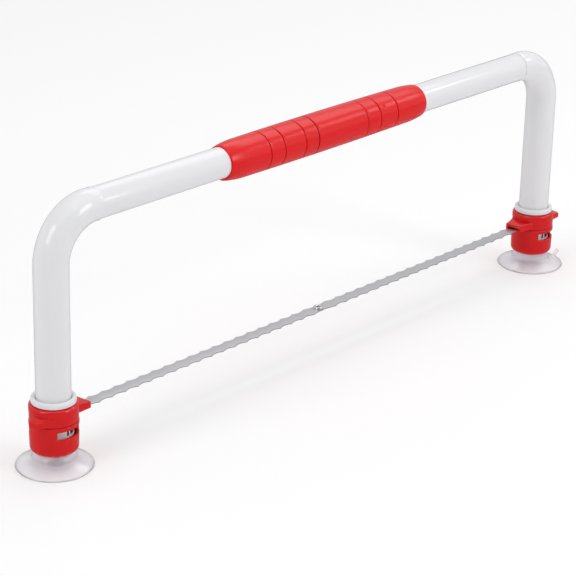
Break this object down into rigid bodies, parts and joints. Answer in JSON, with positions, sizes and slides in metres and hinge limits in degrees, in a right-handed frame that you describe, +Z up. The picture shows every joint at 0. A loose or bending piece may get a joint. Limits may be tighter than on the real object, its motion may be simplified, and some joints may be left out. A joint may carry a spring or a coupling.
{
  "type": "cake leveler",
  "caption": "Tube frame on suction cups with a grip and a scalloped blade that slides up the legs in clamp collars.",
  "frame": {"origin": "on the worktop, midway between the two legs", "axes": "+Z up, +X from the left leg to the right leg along the blade, +Y away from the side shown"},
  "size_m": [0.3728, 0.034, 0.1221],
  "materials": {
    "white_tube": "smooth gloss white",
    "white_collet": "satin white",
    "inner_plastic": "plain moulded",
    "red_grip": "soft semi-gloss sleeve",
    "red_collar": "moulded gloss red",
    "clear_cup": "clear soft plastic",
    "blade_steel": "satin steel",
    "rivet_metal": "bright plated",
    "pin_steel": "plain steel"
  },
  "bodies": {
    "frame": {"top_bar": "white_tube", "left_leg": "white_tube", "right_leg": "white_tube", "left_bar_coupler": "inner_plastic", "right_bar_coupler": "inner_plastic", "grip": "red_grip", "left_foot_plug": "inner_plastic", "right_foot_plug": "inner_plastic"},
    "carriage": {"left_collet": "white_collet", "right_collet": "white_collet", "left_wing_ring": "red_collar", "right_wing_ring": "red_collar", "left_blade_pin": "pin_steel", "right_blade_pin": "pin_steel", "blade": "blade_steel", "blade_eyelet": "rivet_metal"},
    "left_lock": {"left_clamp_cup": "red_collar"},
    "right_lock": {"right_clamp_cup": "red_collar"},
    "left_foot": {"left_suction_cup": "clear_cup"},
    "right_foot": {"right_suction_cup": "clear_cup"}
  },
  "joints": [
    {"name": "blade_height", "type": "slide", "parent": "frame", "child": "carriage", "axis": [0, 0, 1], "range_m": [0, 0.057]},
    {"name": "left_lock_turn", "type": "hinge", "parent": "carriage", "child": "left_lock", "pos_m": [-0.168, 0, 0.015], "axis": [0, 0, 1], "range_deg": [-60, 0]},
    {"name": "right_lock_turn", "type": "hinge", "parent": "carriage", "child": "right_lock", "pos_m": [0.168, 0, 0.015], "axis": [0, 0, 1], "range_deg": [-60, 0]},
    {"name": "left_cup_swivel", "type": "hinge", "parent": "frame", "child": "left_foot", "pos_m": [-0.168, 0, 0.005], "axis": [0, 0, 1], "continuous": true},
    {"name": "right_cup_swivel", "type": "hinge", "parent": "frame", "child": "right_foot", "pos_m": [0.168, 0, 0.005], "axis": [0, 0, 1], "continuous": true}
  ]
}
